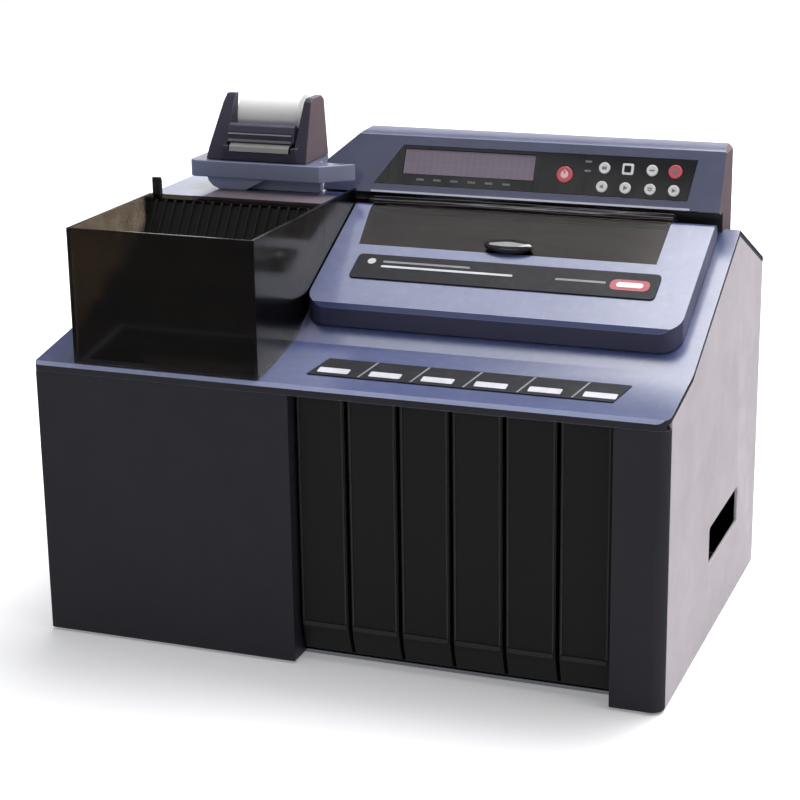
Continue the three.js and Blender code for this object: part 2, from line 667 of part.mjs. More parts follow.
// ---- assembly ----
const machine = new THREE.Group();
machine.position.y = -DEPTH / 2;
machine.add(node('base_pan', basePan(), 'steel'));
for (const [place, [x, y]] of Object.entries(FEET)) {
  machine.add(node(`foot_${place}`, foot(x, y), 'rubber'));
}
machine.add(node('left_side_panel', sidePanel(-HALF, -HALF + WALL, 4 + GAP), 'sideGrey'));
machine.add(node('right_side_panel', sidePanel(HALF - WALL, HALF, CORNER + 2 + GAP), 'sideGrey'));
machine.add(node('rear_panel', rearPanel(), 'charcoal'));
machine.add(node('front_left_cover', frontBlock(), 'charcoal'));
machine.add(node('front_right_pillar', frontPillar(), 'charcoal'));
machine.add(node('top_deck', topDeck(), 'deckBlue'));
machine.add(node('label_strip', labelStrip(), 'panel'));
machine.add(node('drawer_frame', drawerFrame(), 'black'));
for (let i = 0; i < DRAWERS; i += 1) {
  machine.add(node(`drawer_${i + 1}`, drawer(i), 'drawerBlack'));
}
machine.add(node('hopper_bin', hopperBin(), 'smoke'));
machine.add(node('hopper_ramp', hopperRamp(), 'drawerBlack'));
machine.add(node('sort_rail', sortRail(), 'steel'));
machine.add(node('coin_chutes', coinChutes(), 'black'));
machine.add(node('feed_disc', feedDisc(), 'steel'));
machine.add(node('motor_pulley', motorPulley(), 'steel'));
machine.add(node('feed_motor', feedMotor(), 'steel'));
machine.add(node('mechanism_plate', mechanismPlate(), 'steel'));
machine.add(node('drive_belt', driveBelt(), 'rubber'));
machine.add(node('transport_belt', transportBelt(), 'rubber'));
machine.add(node('belt_drive_pulley', beltPulley(BELT.x0), 'steel'));
machine.add(node('belt_idler_pulley', beltPulley(BELT.x1), 'steel'));
machine.add(node('transport_motor', transportMotor(), 'steel'));
machine.add(node('lid_frame', lidFrame(), 'deckBlue'));
machine.add(node('lid_hinge_rod', lidHingeRod(), 'steel'));
machine.add(node('lid_badge', lidBadge(), 'panel'));
machine.add(node('window_flap', windowFlap(), 'smoke'));
machine.add(node('window_knob', windowKnob(), 'black'));
machine.add(node('console_shell', consoleShell(), 'console'));
machine.add(node('display_panel', displayPanel(), 'panel'));
machine.add(node('lcd_screen', lcdScreen(), 'lcd'));
for (const key of KEYS) {
  machine.add(node(key.name, keyCap(key), key.colour));
}
machine.add(node('rear_shelf', rearShelf(), 'deckBlue'));
machine.add(node('printer_platform', printerPlatform(), 'console'));
machine.add(node('printer_housing', printerHousing(), 'charcoal'));
machine.add(node('printer_head', printerHead(), 'black'));
machine.add(node('platen_roller', platenRoller(), 'rubber'));
machine.add(node('paper_strip', paperStrip(), 'paper'));
machine.add(node('paper_roll', paperRoll(), 'paper'));
machine.add(node('control_board', controlBoard(), 'board'));
machine.add(node('power_supply', powerSupply(), 'steel'));
machine.add(node('power_inlet', powerInlet(), 'black'));
machine.add(node('power_switch', rockerSwitch(), 'black'));

export default machine;
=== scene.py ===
"""The looks of a desktop coin sorting machine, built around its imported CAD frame."""
import json
import math

import bmesh
import bpy
from mathutils import Matrix, Vector

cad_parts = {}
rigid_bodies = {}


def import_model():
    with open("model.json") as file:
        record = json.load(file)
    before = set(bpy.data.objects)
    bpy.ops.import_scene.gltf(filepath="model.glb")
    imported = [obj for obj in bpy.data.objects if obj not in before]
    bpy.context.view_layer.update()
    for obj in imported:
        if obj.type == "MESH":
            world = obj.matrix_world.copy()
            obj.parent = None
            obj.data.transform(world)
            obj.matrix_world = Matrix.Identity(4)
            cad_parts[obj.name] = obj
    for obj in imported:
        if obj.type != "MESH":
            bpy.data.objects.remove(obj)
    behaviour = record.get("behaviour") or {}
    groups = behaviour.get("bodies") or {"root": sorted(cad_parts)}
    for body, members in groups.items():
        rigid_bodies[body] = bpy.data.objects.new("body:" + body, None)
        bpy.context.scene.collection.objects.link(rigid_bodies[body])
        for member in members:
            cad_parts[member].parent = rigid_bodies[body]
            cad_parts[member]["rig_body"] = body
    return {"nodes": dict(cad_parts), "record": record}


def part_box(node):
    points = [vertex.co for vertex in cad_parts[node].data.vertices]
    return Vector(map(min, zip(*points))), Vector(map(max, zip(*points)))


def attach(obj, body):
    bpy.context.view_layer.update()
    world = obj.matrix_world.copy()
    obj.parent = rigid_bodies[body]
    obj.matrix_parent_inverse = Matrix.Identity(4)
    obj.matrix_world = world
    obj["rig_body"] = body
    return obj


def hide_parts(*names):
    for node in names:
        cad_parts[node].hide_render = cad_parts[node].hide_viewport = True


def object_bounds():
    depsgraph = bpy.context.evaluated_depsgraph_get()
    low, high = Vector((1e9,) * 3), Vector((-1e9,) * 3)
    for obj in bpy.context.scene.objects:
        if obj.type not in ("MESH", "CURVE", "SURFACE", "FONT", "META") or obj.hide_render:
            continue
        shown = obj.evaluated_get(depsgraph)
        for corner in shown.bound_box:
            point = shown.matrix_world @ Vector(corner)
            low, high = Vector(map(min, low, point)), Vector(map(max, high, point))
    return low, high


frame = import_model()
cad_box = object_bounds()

# ---- driving sizes, in millimetres, with y counted from the front face to the rear ----
MM = 0.001
NODES = frame["nodes"]
SLOTS = {row["node"]: row["material_slot"] for row in frame["record"]["subparts"]}
FRONT = cad_box[0].y

# Corners of the casing's side view, as (y, z), and the slopes between them.
DECK_NOSE = (2.5, 237.4)
KINK = (78.0, 251.0)
PEAK = (240.0, 330.0)
SLOPE = math.atan2(PEAK[1] - KINK[1], PEAK[0] - KINK[0])
NOSE_SLOPE = math.atan2(KINK[1] - DECK_NOSE[1], KINK[0] - DECK_NOSE[0])

# The lid's top over the deck, the foot (y, z) of the console's face, and the hinge's axis (y, z).
LID_TOP = 17.2
FACE_FOOT = (222.0, 347.0)
FACE_TILT = math.radians(65)
HINGE_AXIS = (230, 338)

# The drawers: the fin left of the first, their pitch, and the bend and top of their fronts.
DRAWER_COUNT = 6
FIRST_FIN = -38.6
DRAWER_PITCH = 43.4
DRAWER_BEND = 33.0
DRAWER_TOP = 226.0

# How the copies of CAD meshes are cleaned and rounded.
WELD = 0.00002
FLAT_DEGREES = 0.5
SHARP_DEGREES = 30


def at(x, y, z):
    """A point in the shared frame, from millimetres with y counted from the front face."""
    return Vector((x * MM, FRONT + y * MM, z * MM))


def plane(y, z, tilt):
    """A tilted working plane: x to the right, s up the slope, then outward, in millimetres."""
    turn = Matrix.Rotation(tilt, 4, "X")
    return Matrix.Translation(at(0, y, z)) @ turn @ Matrix.Scale(MM, 4)


def facing(origin, right, up):
    """A working plane at a point, with its own right and up directions, in millimetres."""
    right, up = Vector(right), Vector(up)
    turn = Matrix((right, up, right.cross(up))).transposed().to_4x4()
    return Matrix.Translation(origin) @ turn @ Matrix.Scale(MM, 4)


NOSE_PLANE = plane(*DECK_NOSE, NOSE_SLOPE)
LID_PLANE = plane(*KINK, SLOPE)
FACE_PLANE = plane(*FACE_FOOT, FACE_TILT)


def lid_s(y):
    """How far up the lid's top a depth lies."""
    return (y - KINK[0]) / math.cos(SLOPE) + LID_TOP * math.tan(SLOPE)


def nose_s(y):
    """How far up the deck's front slope a depth lies."""
    return (y - DECK_NOSE[0]) / math.cos(NOSE_SLOPE)


def within(place, low, high):
    """Whether a point lies in the box between two corners."""
    return all(low[i] <= place[i] <= high[i] for i in range(3))


# ---- camera ----
def add_camera():
    """A camera at the photograph's place and angle, as solved from the machine's edges in it."""
    yaw, pitch, roll = 0.3624, 0.299, -0.0143
    across = math.cos(pitch)
    ahead = Vector((-math.sin(yaw) * across, math.cos(yaw) * across, -math.sin(pitch)))
    level = Vector((math.cos(yaw), math.sin(yaw), 0))
    upright = level.cross(ahead)
    right = math.cos(roll) * level + math.sin(roll) * upright
    up = math.cos(roll) * upright - math.sin(roll) * level
    data = bpy.data.cameras.new("camera")
    data.sensor_width = 36
    data.lens = 93.9
    camera = bpy.data.objects.new("camera", data)
    bpy.context.scene.collection.objects.link(camera)
    turn = Matrix((right, up, -ahead)).transposed().to_4x4()
    camera.matrix_world = Matrix.Translation(at(596.64, -1429.18, 705.46)) @ turn
    bpy.context.scene.camera = camera


add_camera()


# ---- materials ----
def srgb(*levels):
    """A linear colour from 0-255 display levels."""
    shares = [level / 255 for level in levels]
    linear = [v / 12.92 if v <= 10 / 255 else ((v + 0.055) / 1.055) ** 2.4 for v in shares]
    return (*linear, 1.0)


def shade(colour, factor):
    """A colour made lighter or darker by a factor."""
    return (*[min(1.0, c * factor) for c in colour[:3]], 1.0)


GRAIN = 1400
DUST = srgb(196, 190, 182)


class Look:
    """One material's node tree, with short calls for the nodes that the looks share.

    Scales of noise are in cells per metre, and depths of relief in metres.
    """

    def __init__(self, name):
        self.material = bpy.data.materials.new(name)
        self.material.use_nodes = True
        self.tree = self.material.node_tree
        self.shader = self.tree.nodes["Principled BSDF"]
        self.place = self.tree.nodes.new("ShaderNodeTexCoord").outputs["Object"]

    def link(self, output, target):
        self.tree.links.new(output, target)

    def paint(self, colour):
        self.link(colour, self.shader.inputs["Base Color"])

    def roughen(self, roughness):
        self.link(roughness, self.shader.inputs["Roughness"])

    def set(self, **values):
        """Sets values that are the same all over on the shader's own sockets."""
        for name, value in values.items():
            socket = name.replace("_", " ").title().replace("Ior", "IOR")
            self.shader.inputs[socket].default_value = value
        return self

    def mapped(self, **values):
        """The object's own place, turned or stretched."""
        node = self.tree.nodes.new("ShaderNodeMapping")
        for name, value in values.items():
            node.inputs[name.title()].default_value = value
        self.link(self.place, node.inputs["Vector"])
        return node.outputs["Vector"]

    def noise(self, scale, detail=3.0, stretch=(1, 1, 1)):
        """Noise over the object's own place, from 0 to 1."""
        node = self.tree.nodes.new("ShaderNodeTexNoise")
        node.inputs["Scale"].default_value = scale
        node.inputs["Detail"].default_value = detail
        node.inputs["Roughness"].default_value = 0.55
        self.link(self.mapped(scale=stretch), node.inputs["Vector"])
        return node.outputs["Fac"]

    def bricks(self, width, height, gap, colours, tilt):
        """A grid of bricks and gaps, in metres, on a plane tilted about x."""
        node = self.tree.nodes.new("ShaderNodeTexBrick")
        node.inputs["Scale"].default_value = 1.0
        node.inputs["Brick Width"].default_value = width
        node.inputs["Row Height"].default_value = height
        node.inputs["Mortar Size"].default_value = gap
        for name, colour in zip(("Color1", "Color2", "Mortar"), colours):
            node.inputs[name].default_value = colour
        self.link(self.mapped(rotation=(tilt, 0, 0)), node.inputs["Vector"])
        return node

    def remap(self, value, low, high, to_low, to_high):
        """A value's range from low to high, spread over another range and held at its ends."""
        node = self.tree.nodes.new("ShaderNodeMapRange")
        for index, number in enumerate((low, high, to_low, to_high), 1):
            node.inputs[index].default_value = number
        self.link(value, node.inputs["Value"])
        return node.outputs["Result"]

    def mix(self, factor, first, second):
        """Mixes two colours, each a socket or a fixed colour, by a socket."""
        node = self.tree.nodes.new("ShaderNodeMix")
        node.data_type = "RGBA"
        self.link(factor, node.inputs["Factor"])
        for socket, colour in ((node.inputs[6], first), (node.inputs[7], second)):
            if isinstance(colour, tuple):
                socket.default_value = colour
            else:
                self.link(colour, socket)
        return node.outputs[2]

    def math(self, operation, first, second):
        node = self.tree.nodes.new("ShaderNodeMath")
        node.operation = operation
        self.link(first, node.inputs[0])
        self.link(second, node.inputs[1])
        return node.outputs[0]

    def bump(self, height, distance):
        node = self.tree.nodes.new("ShaderNodeBump")
        node.inputs["Strength"].default_value = 1.0
        node.inputs["Distance"].default_value = distance
        self.link(height, node.inputs["Height"])
        self.link(node.outputs["Normal"], self.shader.inputs["Normal"])

    def upward(self):
        """1 where the surface looks up, 0 where it is upright or looks down."""
        normal = self.tree.nodes.new("ShaderNodeNewGeometry").outputs["Normal"]
        split = self.tree.nodes.new("ShaderNodeSeparateXYZ")
        self.link(normal, split.inputs[0])
        return self.remap(split.outputs["Z"], 0.3, 1.0, 0.0, 1.0)

    def edges(self):
        """1 along outer edges."""
        pointiness = self.tree.nodes.new("ShaderNodeNewGeometry").outputs["Pointiness"]
        return self.remap(pointiness, 0.52, 0.60, 0.0, 1.0)


def plastic(name, colour, gloss, relief=0.00003, edge=1.35, dust=0.05, coat=0.0, smear=1.0,
            haze=0.12, level=0.5):
    """Moulded plastic: mottled colour, a fine grain, smudged gloss, edges lightened as rubbed
    wear and painted highlight, and dust.

    Edge is how much lighter the edges are, as rubbed wear and painted highlight, smear how uneven
    the colour and gloss are, haze the coat's roughness, and level the strength of reflections.
    """
    look = Look(name)
    mottle = look.remap(look.noise(9), 0.3, 0.7, 0.0, 1.0)
    body = look.mix(mottle, shade(colour, 1 - 0.07 * smear), shade(colour, 1 + 0.06 * smear))
    speckle = look.remap(look.noise(GRAIN * 0.8, 1.0), 0.35, 0.65, 0.0, 0.08)
    body = look.mix(speckle, body, shade(colour, 1.6))
    # Lighter edges: partly rubbed wear, partly painted highlight.
    rubbed_and_highlit = look.remap(look.noise(60), 0.35, 0.6, 0.25, 0.8)
    body = look.mix(look.math("MULTIPLY", look.edges(), rubbed_and_highlit), body, shade(colour, edge))
    settled = look.remap(look.noise(140, 5.0), 0.45, 0.8, 0.0, dust)
    look.paint(look.mix(look.math("MULTIPLY", look.upward(), settled), body, DUST))
    low, high = gloss * (1 - 0.15 * smear), gloss * (1 + 0.2 * smear)
    look.roughen(look.remap(look.noise(28, 4.0), 0.35, 0.7, low, high))
    look.bump(look.noise(GRAIN, 2.0), relief)
    return look.set(coat_weight=coat, coat_roughness=haze, specular_ior_level=level).material


def gloss_panel(name, colour, gloss, level=0.35):
    """A glossy film or lacquered plate with hairlines and finger smears."""
    look = Look(name)
    cloudy = look.remap(look.noise(14), 0.3, 0.7, 0.0, 1.0)
    look.paint(look.mix(cloudy, shade(colour, 0.8), shade(colour, 1.3)))
    hair = look.remap(look.noise(700, 2.0, (1, 0.03, 0.03)), 0.58, 0.7, 0.0, 0.12)
    smear = look.remap(look.noise(40, 4.0), 0.4, 0.7, gloss, gloss * 2.2)
    look.roughen(look.math("ADD", smear, hair))
    look.bump(look.noise(90, 1.0), 0.00002)
    return look.set(coat_weight=0.2, coat_roughness=0.05, specular_ior_level=level).material


def painted_glint_strip(name, dark, light, gloss):
    """A glossy moulded strip whose length carries thin wavy lines of painted highlight, standing
    in for reflections.
    """
    look = Look(name)
    glint_lines = look.remap(look.noise(420, 2.0, (0.02, 1, 1)), 0.54, 0.66, 0.0, 1.0)
    broken = look.math("MULTIPLY", glint_lines, look.remap(look.noise(24), 0.35, 0.6, 0.3, 1.0))
    look.paint(look.mix(broken, dark, light))
    look.roughen(look.remap(look.noise(60), 0.3, 0.7, gloss, gloss * 2))
    look.bump(glint_lines, 0.0002)
    return look.set(metallic=0.55).material


def smoked(name, tint, gloss, ior):
    """Smoked clear acrylic, with faint haze from handling."""
    look = Look(name)
    look.roughen(look.remap(look.noise(35, 5.0), 0.4, 0.75, gloss, gloss + 0.10))
    streak = look.remap(look.noise(48, 3.0, (0.08, 1, 1)), 0.35, 0.65, 0.0, 1.0)
    look.paint(look.mix(streak, shade(tint, 0.8), shade(tint, 1.2)))
    look.bump(look.noise(260, 2.0), 0.000008)
    return look.set(transmission_weight=1.0, ior=ior).material


def steel(name, colour, gloss):
    """Brushed metal: streaks along one way in colour, gloss and relief."""
    look = Look(name)
    streaks = look.noise(1600, 3.0, (1, 0.04, 1))
    brushed = look.remap(streaks, 0.35, 0.65, 0.0, 1.0)
    body = look.mix(brushed, shade(colour, 0.85), shade(colour, 1.08))
    patches = look.remap(look.noise(18, 4.0), 0.5, 0.75, 0.0, 0.35)
    look.paint(look.mix(patches, body, shade(colour, 0.7)))
    look.roughen(look.remap(streaks, 0.3, 0.7, gloss * 0.8, gloss * 1.3))
    look.bump(streaks, 0.00001)
    return look.set(metallic=1.0).material


def rubber(name):
    """Black rubber, worn grey in places."""
    look = Look(name)
    worn = look.remap(look.noise(120, 4.0), 0.4, 0.7, 0.0, 1.0)
    look.paint(look.mix(worn, srgb(22, 22, 22), srgb(44, 43, 42)))
    look.roughen(look.remap(look.noise(300), 0.3, 0.7, 0.7, 0.95))
    look.bump(look.noise(1500, 2.0), 0.00005)
    return look.material


def paper(name, level=1.0):
    """White slip paper with a faint fibre and a little tone; level darkens it all, which serves
    as painted shade.
    """
    look = Look(name)
    fibre = look.noise(2400, 4.0, (1, 0.3, 1))
    dark, light = shade(srgb(236, 236, 232), level), shade(srgb(250, 250, 248), level)
    look.paint(look.mix(look.remap(fibre, 0.3, 0.7, 0.0, 1.0), dark, light))
    look.roughen(look.remap(fibre, 0.3, 0.7, 0.75, 0.95))
    look.bump(fibre, 0.00001)
    return look.material


def display_glass(name):
    """An unlit display: a violet-grey film over rows of faint character cells."""
    look = Look(name)
    colours = srgb(112, 97, 118), srgb(110, 96, 116), srgb(119, 104, 125)
    cells = look.bricks(0.0056, 0.0098, 0.0007, colours, -FACE_TILT)
    cells.offset = 0.0
    cells.inputs["Mortar Smooth"].default_value = 0.4
    shift = look.remap(look.noise(20), 0.3, 0.7, 0.0, 0.35)
    look.paint(look.mix(shift, cells.outputs["Color"], srgb(122, 104, 120)))
    look.roughen(look.remap(look.noise(30, 4.0), 0.4, 0.7, 0.10, 0.2))
    return look.set(coat_weight=0.6, coat_roughness=0.05).material


def circuit(name):
    """A lacquered circuit board with copper tracks showing through."""
    look = Look(name)
    colours = srgb(24, 92, 52), srgb(30, 104, 60), srgb(84, 140, 72)
    tracks = look.bricks(0.012, 0.003, 0.0004, colours, math.pi / 2)
    look.paint(tracks.outputs["Color"])
    look.roughen(look.remap(look.noise(200), 0.3, 0.7, 0.25, 0.45))
    return look.material


# The looks of the record's material slots.
LOOKS = {
    "charcoal_shell": plastic("navy_shell", srgb(38, 37, 45), 0.45),
    "deck_shell": plastic("steel_blue_shell", srgb(62, 72, 114), 0.34, relief=0.00001, edge=2.4,
                          coat=1.0, smear=0.6, haze=0.22),
    "side_shell": plastic("warm_grey_shell", srgb(177, 170, 175), 0.42, edge=1.2),
    "console_shell": plastic("slate_shell", srgb(84, 87, 112), 0.34, relief=0.00001, edge=1.9,
                             coat=0.3, smear=0.6),
    "drawer_plastic": plastic("drawer_plastic", srgb(29, 29, 27), 0.34, relief=0.00001, edge=1.0,
                              dust=0.0, smear=0.1, level=0.3),
    "smoked_acrylic": smoked("smoked_acrylic", srgb(88, 78, 66), 0.14, 1.32),
    "black_plastic": plastic("black_plastic", srgb(26, 26, 28), 0.35, edge=1.8),
    "gloss_panel": gloss_panel("gloss_panel", srgb(17, 18, 20), 0.10),
    "lcd_glass": display_glass("display_glass"),
    "key_white": plastic("key_white", srgb(232, 228, 228), 0.35, edge=1.05),
    "key_red": plastic("key_red", srgb(206, 96, 102), 0.35, edge=1.2),
    "steel": steel("steel", srgb(186, 188, 192), 0.32),
    "belt_rubber": rubber("rubber"),
    "paper": paper("paper"),
    "circuit": circuit("circuit"),
}

# Looks of single pieces and of parts of a piece.
PALE_PRINT = plastic("pale_print", srgb(176, 176, 182), 0.5)
GREY_PRINT = plastic("grey_print", srgb(112, 112, 120), 0.5)
PINK_PRINT = plastic("pink_print", srgb(232, 190, 196), 0.4)
CARD = plastic("card", srgb(174, 174, 182), 0.5)
# Paler copies of the slate shell for the platform's sides and pedestal: painted light.
PLATFORM_PAINTED_LIGHT = plastic("printer_platform_painted_light", srgb(140, 147, 172), 0.4, edge=1.3, smear=0.6)
PEDESTAL_PAINTED_LIGHT = plastic("pedestal_painted_light", srgb(172, 180, 206), 0.4, edge=1.1, smear=0.6)
# Dark colour put where the shelf lies in shade: painted shade.
PAINTED_SHADE_PAD = plastic("shelf_painted_shade_pad", srgb(84, 75, 84), 0.5, edge=1.2)
PRINTER_SHELL = plastic("printer_shell", srgb(56, 54, 70), 0.36, edge=2.4)
# A warm tint for faces turned to the right: painted reflection of warm light.
PAINTED_WARM_REFLECTION = plastic("painted_warm_reflection", srgb(102, 84, 90), 0.4, edge=1.3)
RED_TAB = plastic("red_tab", srgb(150, 54, 64), 0.4)
# A near-white colour for the console's lip line: painted highlight.
LIP_PAINTED_HIGHLIGHT = plastic("lip_painted_highlight_bead", srgb(206, 208, 224), 0.3, edge=1.1)
# A pale colour for thin lines that stand in for highlights: painted glints.
PAINTED_GLINT_RIDGE = plastic("painted_glint_ridge", srgb(170, 166, 172), 0.25, edge=1.1)
# Drawer plastic made lighter for its edges: painted highlight.
DRAWER_EDGE_PAINTED_HIGHLIGHT = plastic("drawer_edge_painted_highlight", srgb(40, 39, 36), 0.3, edge=2.0, dust=0.0)
FILM = plastic("satin_film", srgb(24, 25, 30), 0.5, relief=0.00001, edge=1.3, dust=0.02,
               smear=0.4, level=0.22)
WINDOW_SMOKE = smoked("window_smoke", srgb(118, 97, 90), 0.12, 1.19)
KNOB_BLACK = gloss_panel("knob_black", srgb(24, 22, 22), 0.05, 1.2)
# Pale wavy lines on the strip over the hinge: painted glints.
HINGE_PAINTED_GLINTS = painted_glint_strip("hinge_painted_glints", srgb(72, 67, 66), srgb(226, 226, 234), 0.12)
# A pale colour for rounded edges, standing in for their highlights: painted highlight.
PAINTED_HIGHLIGHT_EDGE = plastic("painted_highlight_edge", srgb(146, 154, 186), 0.3, relief=0.00001, coat=1.0, haze=0.2)
# The lid's colour darkened for its sides: painted shade.
LID_SIDES_PAINTED_SHADE = plastic("lid_sides_painted_shade", srgb(62, 62, 88), 0.4, edge=2.0, smear=0.5)
NICKEL = steel("nickel", srgb(206, 200, 186), 0.2)
# The paper strip under the print head, darkened: painted shade.
PAPER_PAINTED_SHADE = paper("paper_painted_shade", 0.42)

for node_name, node_object in NODES.items():
    node_object.data.materials.clear()
    node_object.data.materials.append(LOOKS[SLOTS[node_name]])


# ---- outlines ----
def arc(u, v, radius, start, end, steps):
    """Points along an arc, between two angles in degrees."""
    turns = [math.radians(start + (end - start) * i / steps) for i in range(steps + 1)]
    return [(u + radius * math.cos(a), v + radius * math.sin(a)) for a in turns]


def rounded(u0, u1, v0, v1, radius, steps=6):
    """A rectangle with round corners, anticlockwise."""
    return [
        *arc(u1 - radius, v1 - radius, radius, 0, 90, steps),
        *arc(u0 + radius, v1 - radius, radius, 90, 180, steps),
        *arc(u0 + radius, v0 + radius, radius, 180, 270, steps),
        *arc(u1 - radius, v0 + radius, radius, 270, 360, steps),
    ]


def circle(u, v, radius, steps):
    return arc(u, v, radius, 0, 360 - 360 / steps, steps - 1)


# ---- mesh helpers ----
def add_rings(bm, rings, index=0):
    """A closed skin through rings of points, capped at both ends."""
    loops = [[bm.verts.new(point) for point in ring] for ring in rings]
    faces = [bm.faces.new(reversed(loops[0])), bm.faces.new(loops[-1])]
    for lower, upper in zip(loops, loops[1:]):
        for i in range(len(lower)):
            j = (i + 1) % len(lower)
            faces.append(bm.faces.new((lower[i], lower[j], upper[j], upper[i])))
    for face in faces:
        face.material_index = index


def add_slab(bm, outline, low, high, matrix, index=0, round_off=0.0):
    """An outline stood up between two heights out of a plane, its upper edge rounded off."""
    rings = [[matrix @ Vector((u, v, low)) for u, v in outline]]
    middle_u = sum(u for u, v in outline) / len(outline)
    middle_v = sum(v for u, v in outline) / len(outline)
    steps = 3 if round_off else 0
    for i in range(steps + 1):
        turn = math.pi / 2 * i / max(steps, 1)
        inset = round_off * (1 - math.cos(turn))
        height = high - round_off * (1 - math.sin(turn)) if steps else high
        ring = []
        for u, v in outline:
            reach = math.hypot(u - middle_u, v - middle_v)
            keep = 1 - inset / reach if reach else 1
            inner_u = middle_u + (u - middle_u) * keep
            inner_v = middle_v + (v - middle_v) * keep
            ring.append(matrix @ Vector((inner_u, inner_v, height)))
        rings.append(ring)
    add_rings(bm, rings, index)


def add_turned(bm, profile, matrix, steps, squeeze=1.0):
    """A [radius, height] profile turned about the plane's outward line, squeezed along s."""
    rings = []
    for radius, height in profile:
        ring = circle(0, 0, radius, steps)
        rings.append([matrix @ Vector((u, v * squeeze, height)) for u, v in ring])
    add_rings(bm, rings)


def piece(name, bm, materials, body, bevel=0.0, segments=2, edge_look=-1):
    """Makes an object of a mesh, with rounded edges and even shading, riding on a body."""
    bmesh.ops.recalc_face_normals(bm, faces=bm.faces)
    mesh = bpy.data.meshes.new(name)
    bm.to_mesh(mesh)
    bm.free()
    mesh.polygons.foreach_set("use_smooth", [True] * len(mesh.polygons))
    for material in materials:
        mesh.materials.append(material)
    made = bpy.data.objects.new(name, mesh)
    bpy.context.scene.collection.objects.link(made)
    if bevel:
        rounding = made.modifiers.new("rounding", "BEVEL")
        rounding.width = bevel * MM
        rounding.segments = segments
        rounding.material = edge_look
        rounding.limit_method = "ANGLE"
        rounding.angle_limit = math.radians(SHARP_DEGREES)
        rounding.miter_outer = "MITER_ARC"
    evening = made.modifiers.new("evening", "WEIGHTED_NORMAL")
    evening.weight = 100
    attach(made, body)
    return made


def refined(node, bevel, segments=2, looks=None, region=None, merge_flat=True, edge_look=-1):
    """A CAD node's own shape with its edges rounded.

    The region says which look each face takes, from its middle and its normal, and edge_look
    which look the rounded edges take.
    """
    bm = bmesh.new()
    bm.from_mesh(NODES[node].data)
    bmesh.ops.remove_doubles(bm, verts=bm.verts, dist=WELD)
    if merge_flat:
        flat = math.radians(FLAT_DEGREES)
        bmesh.ops.dissolve_limit(bm, angle_limit=flat, verts=bm.verts, edges=bm.edges)
    if region:
        for face in bm.faces:
            face.material_index = int(region(face.calc_center_median(), face.normal))
    looks = looks or [LOOKS[SLOTS[node]]]
    body = NODES[node]["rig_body"]
    made = piece(f"{node}_finished", bm, looks, body, bevel, segments, edge_look)
    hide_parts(node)


# ---- casing ----
def deck_zone(place, normal):
    """The deck's dark front and right skirts, and the rounded edge over its front in a pale
    painted highlight.
    """
    at_front = place.y < FRONT + 6 * MM
    if at_front and normal.y < -0.3 and normal.z > 0.3:
        return 2
    return (at_front and normal.y < -0.7) or (place.x > 262 * MM and normal.x > 0.7)


def casing():
    """The fixed outer shells, the drawers' rack and the feet."""
    deck_looks = [LOOKS["deck_shell"], LOOKS["charcoal_shell"], PAINTED_HIGHLIGHT_EDGE]
    refined("front_left_cover", 1.0, 3)
    refined("front_right_pillar", 0.8, 3)
    refined("top_deck", 1.0, 3, looks=deck_looks, region=deck_zone, edge_look=2)
    refined("left_side_panel", 0.8)
    refined("right_side_panel", 0.8)
    refined("rear_panel", 0.6, merge_flat=False)
    refined("base_pan", 0.4)
    refined("drawer_frame", 0.3)
    for place in ("front_left", "front_right", "rear_left", "rear_right"):
        refined(f"foot_{place}", 0.4)


def drawers():
    for number in range(1, DRAWER_COUNT + 1):
        refined(f"drawer_{number}", 0.6, 3)
        drawer_trim(number)


def drawer_trim(number):
    """Raised edges down both sides of a drawer's front, and a rolled lip across its foot, a
    little lighter than the drawer as painted highlight.
    """
    low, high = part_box(f"drawer_{number}")
    front = facing((0, low.y, 0), (1, 0, 0), (0, 0, 1))
    left, right = low.x / MM, high.x / MM
    margin, width = 1.2, 1.4
    bm = bmesh.new()
    for edge in (left + margin, right - margin - width):
        rib = rounded(edge, edge + width, DRAWER_BEND + 3, DRAWER_TOP, 0.5, 3)
        add_slab(bm, rib, -0.4, 0.7, front, 0, 0.4)
    lip = rounded(left + margin, right - margin, DRAWER_BEND - 1.5, DRAWER_BEND + 2.5, 1.4, 4)
    add_slab(bm, lip, -0.4, 1.1, front, 0, 0.8)
    piece(f"drawer_{number}_trim", bm, [DRAWER_EDGE_PAINTED_HIGHLIGHT], f"drawer_{number}_body")


# ---- hopper ----
def hopper_zone(place, normal):
    """The black hook that is moulded with the hopper's smoked walls."""
    low, high = at(-226.5, 150.2, 300), at(-218.5, 154, 365)
    return within(place, low, high) or place.z > 351 * MM


def hopper():
    looks = [LOOKS["smoked_acrylic"], LOOKS["black_plastic"]]
    refined("hopper_bin", 0.5, 2, looks=looks, region=hopper_zone)
    refined("hopper_ramp", 0.4)


# ---- lid ----
def lid_zone(place, normal):
    """The lid's sides, coloured darker than its light top as painted shade."""
    return normal.z < 0.35


def lid():
    lid_looks = [LOOKS["deck_shell"], LID_SIDES_PAINTED_SHADE, PAINTED_HIGHLIGHT_EDGE]
    # The lid's rounded edges take the pale painted highlight colour.
    refined("lid_frame", 1.2, 3, looks=lid_looks, region=lid_zone, edge_look=2)
    refined("window_flap", 0.5, 2, looks=[WINDOW_SMOKE])
    refined("lid_badge", 0.3, looks=[FILM])
    window_knob()
    badge_marks()


